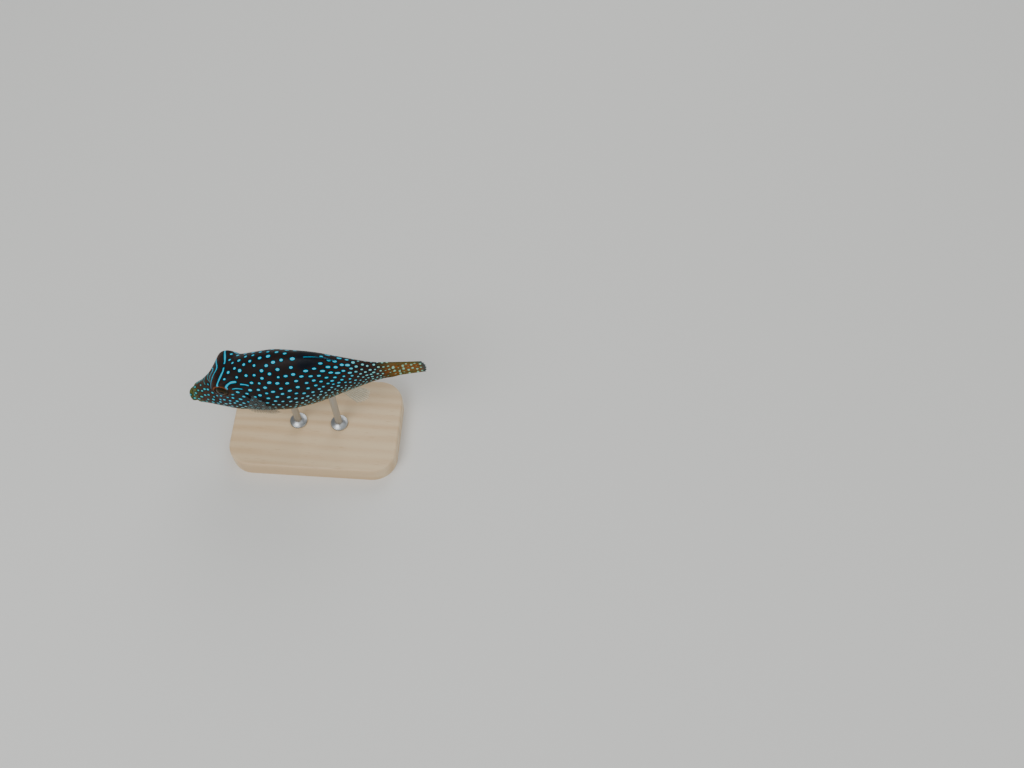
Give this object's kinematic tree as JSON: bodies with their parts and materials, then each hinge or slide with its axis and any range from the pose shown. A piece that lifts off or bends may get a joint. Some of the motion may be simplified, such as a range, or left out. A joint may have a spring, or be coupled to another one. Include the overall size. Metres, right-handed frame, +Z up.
{
  "type": "spotted sharpnose puffer",
  "caption": "Life-size model of a small reef puffer with a pointed snout and blue spots, held nose down on a plain stand by slim steel rods",
  "frame": {"origin": "The middle of the underside of the stand's base, on the surface that it stands on", "axes": "+Z up, the fish faces -X, nose down, and its left side faces -Y"},
  "size_m": [0.0871, 0.038, 0.0588],
  "materials": {
    "skin": "satin painted skin, dark red-brown with blue spots and lines",
    "skin_tail": "satin painted skin, orange-brown with small pale green spots",
    "fin_tail": "satin, orange-brown with fine rays",
    "fin_clear": "clear fin membrane with brown rays",
    "eye": "glossy dark glass eye with an orange-brown ring",
    "beak": "ivory coloured tooth plates",
    "stand_wood": "pale satin-oiled maple",
    "stand_steel": "fine turned stainless steel"
  },
  "bodies": {
    "root": {"head": "skin", "trunk": "skin", "tail_peduncle": "skin_tail", "fin_caudal": "fin_tail", "fin_dorsal": "fin_clear", "fin_anal": "fin_clear", "fin_pectoral_left": "fin_clear", "fin_pectoral_right": "fin_clear", "eye_left": "eye", "eye_right": "eye", "beak_upper": "beak", "beak_lower": "beak", "stand_base": "stand_wood", "stand_rod_front": "stand_steel", "stand_rod_rear": "stand_steel"}
  },
  "joints": []
}
